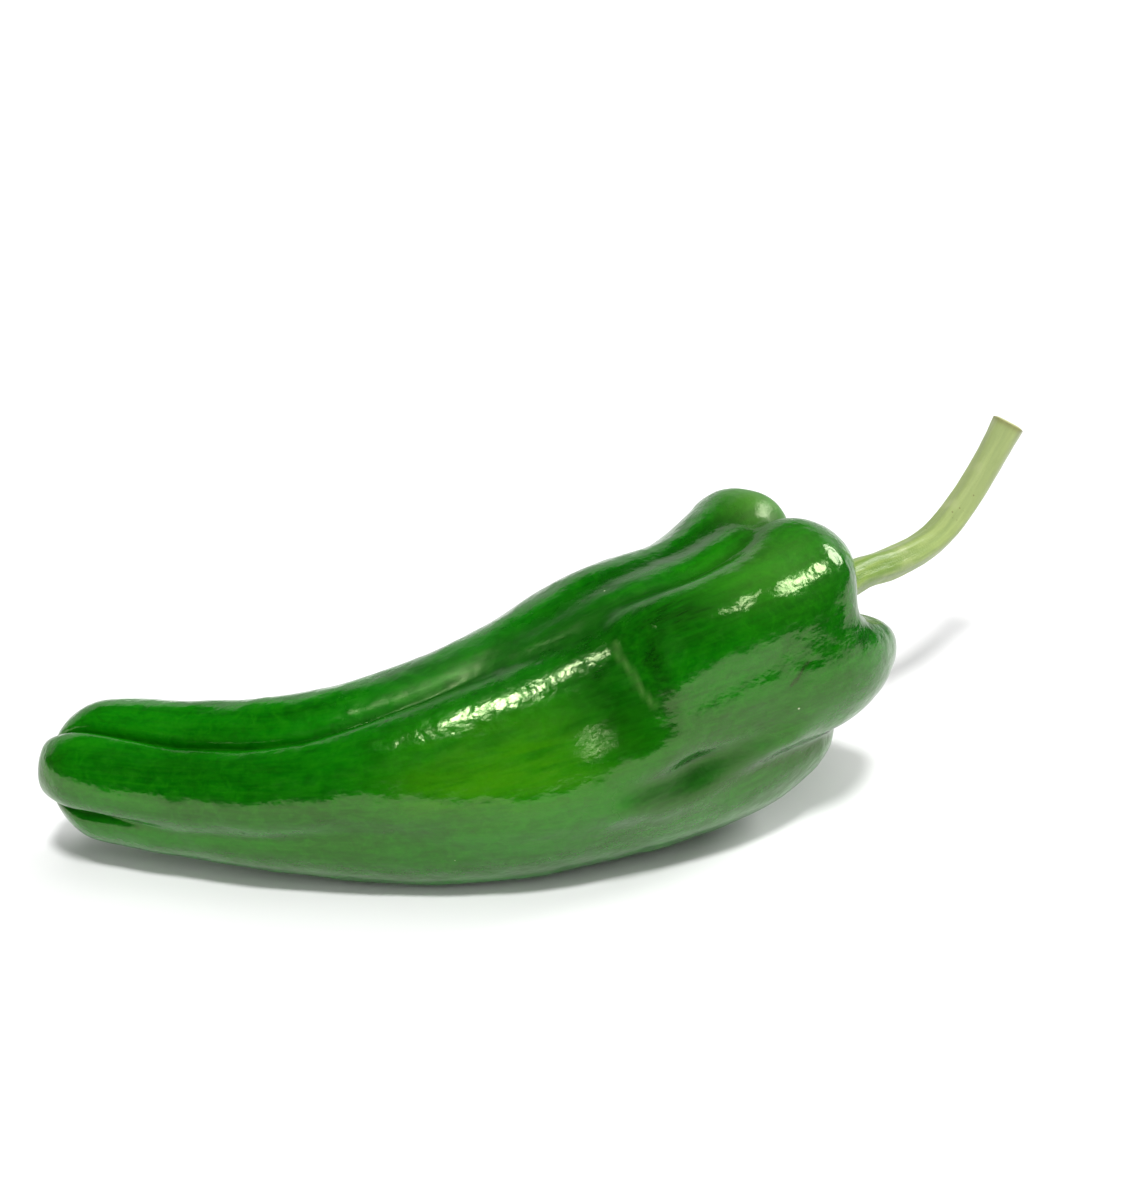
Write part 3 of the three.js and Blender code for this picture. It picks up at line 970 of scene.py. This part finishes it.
@dataclass
class Calyx:
    """The papery calyx in the pod's crown: a thin toothed dish with a curled edge."""

    reach: float = 0.43
    corners: int = 6
    corner_rise: float = 0.04
    tooth: float = 0.09
    tooth_width: float = 0.2
    thickness: float = 0.95
    gap: float = 0.35
    curl: float = 1.4
    curl_power: int = 5
    thinning: float = 0.35
    vein_height: float = 0.22
    vein_power: int = 8
    vein_start: tuple[float, float] = (0.3, 0.5)
    wrinkles: Waves = Waves(3.2, 0.09, 21)
    wrinkle_start: tuple[float, float] = (0.25, 0.5)
    edge_waves: Waves = Waves(5.0, 0.35, 22)
    wave_power: int = 4
    lowest_wave: float = -0.3
    flat_radius: float = 20.0
    grid: tuple[int, int] = (240, 44)
    finish: CalyxFinish = CalyxFinish()

    def spread(self, turn: np.ndarray) -> np.ndarray:
        """Reach in each direction: a rounded polygon with a narrow tooth at each corner.

        The polygon is one less a small cosine of the turn times the corners, and each tooth is a
        bell curve of the turn from its corner.

        Args:
            turn: turns in radians.

        Returns:
            Reach as a share of the crown's section.
        """
        step = 2 * math.pi / self.corners
        off = turn % step - step / 2
        return self.reach * (1 + self.corner_rise * np.cos(self.corners * turn + math.pi)
                             + self.tooth * np.exp(-((off / self.tooth_width) ** 2)))

    def build(self, pod: Pod) -> bpy.types.Object:
        """Makes the calyx over the crown of a pod.

        The underside goes out along the crown at the gap's height, the upper side comes back a
        thickness above it, with veins to the corners, wrinkles and an edge that waves and curls.

        Args:
            pod: the pod that it sits on.

        Returns:
            The calyx as one closed piece.
        """
        around, across = self.grid
        row = np.arange(2 * across + 2)
        under = row <= across
        row_share = np.where(under, row, 2 * across + 1 - row) / across
        turns = np.linspace(0, 2 * math.pi, around, endpoint=False)
        share, turn = np.meshgrid(row_share, turns, indexing="ij")
        above = np.repeat((~under)[:, None], around, axis=1)
        spread = share * self.spread(turn)
        out = self.flat_radius * spread
        flat = np.stack([out * np.cos(turn), out * np.sin(turn), np.zeros_like(turn)], -1)
        waving = self.edge_waves.heights(flat) * share**self.wave_power
        ribs = np.cos(self.corners * turn + math.pi) ** self.vein_power
        vein = self.vein_height * ribs * ease(share, *self.vein_start)
        rough = self.wrinkles.heights(flat) * ease(share, *self.wrinkle_start)
        lift = self.gap + self.curl * share**self.curl_power + np.maximum(waving, self.lowest_wave)
        lift += np.where(above, self.thickness * (1 - self.thinning * share) + vein + rough, 0.0)
        place = pod.point(pod.crown_station(spread), spread, turn, lift)
        piece = closed_skin("calyx_leaf", place, {"straight": flat, "edge": share})
        piece.data.materials.append(self.finish.material())
        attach(piece, "root")
        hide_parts("calyx")
        return piece


@dataclass
class Stem:
    """The stem: a bent, softly ridged stalk with a broad foot and a cut end."""

    line: Line = Line((0, 3, 8, 17, 28, 39.5, 50, 60, 68.5), (
        (51.3, 27.2, 35.7), (54, 28.7, 36.6), (58.2, 31.5, 37.5), (65.2, 36.4, 37.7), (73.6, 41.7, 36.9),
        (83, 47.2, 38.2), (90.2, 51.1, 43.4), (96, 53.7, 51), (100.4, 55.3, 58.1)))
    radius: tuple[float, ...] = (5.8, 5.3, 3.9, 3.2, 3.1, 3, 2.95, 2.9, 3.3)
    ridges: int = 5
    ridge_height: float = 0.05
    cut_rim: float = 0.45
    cut_dimple: float = 0.9
    dimple_width: float = 0.35
    brown_rim: float = 0.8
    rim_from: float = 0.85
    row_power: float = 1.3
    rough_start: tuple[float, float] = (2, 8)
    ageing: tuple[float, float] = (12, 55)
    relief: Waves = Waves(4.0, 0.05, 31, 3.0)
    fine_relief: Waves = Waves(1.2, 0.012, 32, 3.0)
    grid: tuple[int, int, int] = (120, 260, 18)
    finish: StemFinish = StemFinish()

    def build(self, pod: Pod) -> bpy.types.Object:
        """Makes the stem: a tube along its line, closed at the foot and at the dimpled cut.

        The radius is the stem's own, times one plus a small cosine of the turn times the ridges,
        plus the relief. On the cut it shrinks to the middle, behind a bell-shaped dimple and
        inside a rim that stands out by a sine.

        Args:
            pod: the pod, whose frame the stem shares.

        Returns:
            The stem as one closed piece.
        """
        around, along, cap = self.grid
        row = np.arange(along + 2 * cap + 1)
        t = np.clip((row - cap) / along, 0, 1)
        row_foot = np.clip(row / cap, 0, 1)
        row_cut = np.clip((along + 2 * cap - row) / cap, 0, 1)
        turns = np.linspace(0, 2 * math.pi, around, endpoint=False)
        at, turn = np.meshgrid(self.line.stations[-1] * t**self.row_power, turns, indexing="ij")
        share = np.repeat(np.minimum(row_foot, row_cut)[:, None], around, axis=1)
        cut = np.repeat(row_cut[:, None], around, axis=1)
        on_cut = cut < 1
        centre, ahead, side, up = self.line.frames(at)
        thick = smooth(self.line.stations, self.radius, at)
        sideways, upwards = np.cos(turn), np.sin(turn)
        straight = np.stack([thick * share * sideways, thick * share * upwards, at], -1)
        ridge = 1 + self.ridge_height * np.cos(self.ridges * turn)
        rough = np.where(on_cut, 0.0, self.relief.heights(straight) + self.fine_relief.heights(straight))
        radius = (thick * ridge + rough * ease(at, *self.rough_start)) * share
        hollow = np.where(on_cut, self.cut_dimple * np.exp(-((cut / self.dimple_width) ** 2))
                          - self.cut_rim * np.sin(cut * math.pi), 0.0)
        place = (centre + radius[..., None] * (sideways[..., None] * side + upwards[..., None] * up)
                 - hollow[..., None] * ahead)
        place -= np.array([pod.middle[0], pod.middle[1], pod.floor_level])
        from_end = (self.line.stations[-1] - at) / self.brown_rim
        rim = np.exp(-(from_end**2)) * (cut > self.rim_from)
        values = {"straight": straight, "aged": ease(at, *self.ageing),
                  "cut": np.where(on_cut, cut, 0.0), "rim": rim}
        piece = closed_skin("stem_stalk", place, values)
        piece.data.materials.append(self.finish.material())
        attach(piece, "root")
        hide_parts("stem")
        return piece


@dataclass(frozen=True)
class Sun:
    """A distant lamp: where it shines from, its power, its width in degrees, and if it glints."""

    shines_from: Place
    power: float
    width: float
    glints: bool = False

    def hang(self, name: str) -> None:
        """Hangs the lamp, turned to shine from its direction.

        Args:
            name: name of the lamp.
        """
        light = bpy.data.lights.new(name, "SUN")
        light.energy = self.power
        light.angle = math.radians(self.width)
        lamp = bpy.data.objects.new(name, light)
        lamp.rotation_euler = Vector(self.shines_from).to_track_quat("Z", "Y").to_euler()
        lamp.visible_glossy = self.glints
        bpy.context.scene.collection.objects.link(lamp)


@dataclass(frozen=True)
class Panel:
    """A round soft light without a glint: its place, the way it faces, its width and power."""

    place: Place
    faces: Place
    width: float
    power: float

    def hang(self, name: str) -> None:
        """Hangs the panel at its place.

        Args:
            name: name of the lamp.
        """
        light = bpy.data.lights.new(name, "AREA")
        light.shape = "DISK"
        light.size = self.width
        light.energy = self.power
        lamp = bpy.data.objects.new(name, light)
        lamp.location = self.place
        lamp.rotation_euler = Vector(self.faces).to_track_quat("-Z", "Y").to_euler()
        lamp.visible_glossy = False
        bpy.context.scene.collection.objects.link(lamp)


@dataclass(frozen=True)
class Sparkle:
    """A small lamp close by that only glints: where it aims, from where, how wide and how near."""

    aim: Place
    shines_from: Place
    strength: float
    width: float
    away: float
    cone: float = 1.3

    def hang(self, name: str) -> None:
        """Hangs the lamp away from its aim, with a cone of so many times its width.

        Its power is its strength times the sphere round its aim, and its radius is the distance
        times the tangent of half its width in degrees.

        Args:
            name: name of the lamp.
        """
        way = Vector(self.shines_from).normalized()
        light = bpy.data.lights.new(name, "SPOT")
        light.energy = self.strength * 4 * math.pi * self.away**2
        light.shadow_soft_size = self.away * math.tan(math.radians(self.width / 2))
        light.spot_size = math.radians(self.cone * self.width)
        light.spot_blend = 1.0
        lamp = bpy.data.objects.new(name, light)
        lamp.location = Vector(self.aim) + way * self.away
        lamp.rotation_euler = way.to_track_quat("Z", "Y").to_euler()
        lamp.visible_diffuse = False
        lamp.visible_camera = False
        bpy.context.scene.collection.objects.link(lamp)


@dataclass
class Studio:
    """White table top, a glowing screen behind it, lamps that light and glint, room and camera."""

    table_front: float = -0.27
    table_back: float = 1.4
    table_half_width: float = 2.0
    table_level: float = -0.00003
    screen_height: float = 0.85
    screen_glow: float = 0.55
    sparkles: tuple[Sparkle, ...] = (
        Sparkle((-0.02, -0.028, 0.037), (-0.24, -0.02, 0.97), 2.9, 16.0, 0.12),
        Sparkle((0.0263, -0.0249, 0.0532), (0.15, -0.33, 0.93), 0.6, 13.0, 0.03),
        Sparkle((0.0402, -0.0212, 0.0557), (0.42, -0.4, 0.82), 6.0, 32.0, 0.019),
        Sparkle((-0.003, -0.034, 0.0325), (0.1, -0.94, 0.32), 0.3, 10.0, 0.03))
    key: Sun = Sun((-0.06, -0.45, 0.89), 2.5, 9.0)
    side: Sun = Sun((0.74, 0.24, 0.52), 1.9, 26.0, True)
    ceiling: Panel = Panel((0.0, 0.0, 1.3), (0.0, 0.0, -1.0), 1.0, 5.0)
    fill: Panel = Panel((-0.25, -1.0, 0.8), (0.2, 1.0, -0.7), 0.9, 6.0)
    room_shade: str = "2e2e2e"
    room_power: float = 1.0
    eye: Place = (-0.10305, -0.4845, 0.2856)
    target: Place = (-0.00475, -0.0221, 0.055)
    lens: float = 90.0
    film: float = 36.0
    nearest: float = 0.01
    finish: TableFinish = TableFinish()

    def build(self) -> None:
        """Sets up the table, the screen, the lamps, the room and the camera."""
        half, front, back = self.table_half_width, self.table_front, self.table_back
        low, high = self.table_level, self.screen_height
        table = [(-half, front, low), (half, front, low), (half, back, low), (-half, back, low)]
        screen = [(-half, back, low), (half, back, low), (half, back, high), (-half, back, high)]
        self.sheet("table_top", table, self.finish.material())
        self.sheet("pale_screen", screen, self.glow())
        for i, sparkle in enumerate(self.sparkles):
            sparkle.hang(f"sparkle_lamp_{i + 1}")
        self.key.hang("key_lamp")
        self.side.hang("side_lamp")
        self.ceiling.hang("soft_ceiling")
        self.fill.hang("soft_fill")
        self.room()
        self.camera()

    def sheet(self, name: str, corners: list[Place], material: bpy.types.Material) -> None:
        """Makes one flat face of the studio.

        Args:
            name: name of the face.
            corners: its corners in metres, turning left as seen from its front.
            material: its finish.
        """
        mesh = bpy.data.meshes.new(name)
        mesh.from_pydata(corners, [], [(0, 1, 2, 3)])
        mesh.update()
        mesh.materials.append(material)
        sheet = bpy.data.objects.new(name, mesh)
        bpy.context.scene.collection.objects.link(sheet)

    def glow(self) -> bpy.types.Material:
        """Builds the softly glowing white of the screen.

        Returns:
            The finished material.
        """
        r = Recipe("screen_glow")
        r.shader.inputs["Base Color"].default_value = colour("000000")
        r.shader.inputs["Emission Color"].default_value = colour("ffffff")
        r.shader.inputs["Emission Strength"].default_value = self.screen_glow
        return r.material

    def room(self) -> None:
        """Fills the room around the table with a dim, even grey."""
        world = bpy.data.worlds.new("dim_room")
        bpy.context.scene.world = world
        world.use_nodes = True
        background = next(n for n in world.node_tree.nodes if n.type == "BACKGROUND")
        background.inputs["Color"].default_value = colour(self.room_shade)
        background.inputs["Strength"].default_value = self.room_power
        bpy.context.scene.view_settings.view_transform = "Standard"

    def camera(self) -> None:
        """Aims the camera from its eye at its target."""
        data = bpy.data.cameras.new("camera")
        data.lens = self.lens
        data.sensor_fit = "VERTICAL"
        data.sensor_height = self.film
        data.clip_start = self.nearest
        camera = bpy.data.objects.new("camera", data)
        camera.location = self.eye
        looks = Vector(self.target) - Vector(self.eye)
        camera.rotation_euler = looks.to_track_quat("-Z", "Y").to_euler()
        bpy.context.scene.collection.objects.link(camera)
        bpy.context.scene.camera = camera


def main() -> None:
    """Builds the pepper's pieces in order, then the studio."""
    logging.basicConfig(level=logging.INFO, format="%(name)s: %(message)s")
    pod = Pod()
    for piece in (pod.build(), Calyx().build(pod), Stem().build(pod)):
        log.info("%s: %d faces", piece.name, len(piece.data.polygons))
    Studio().build()


if __name__ == "__main__":
    main()
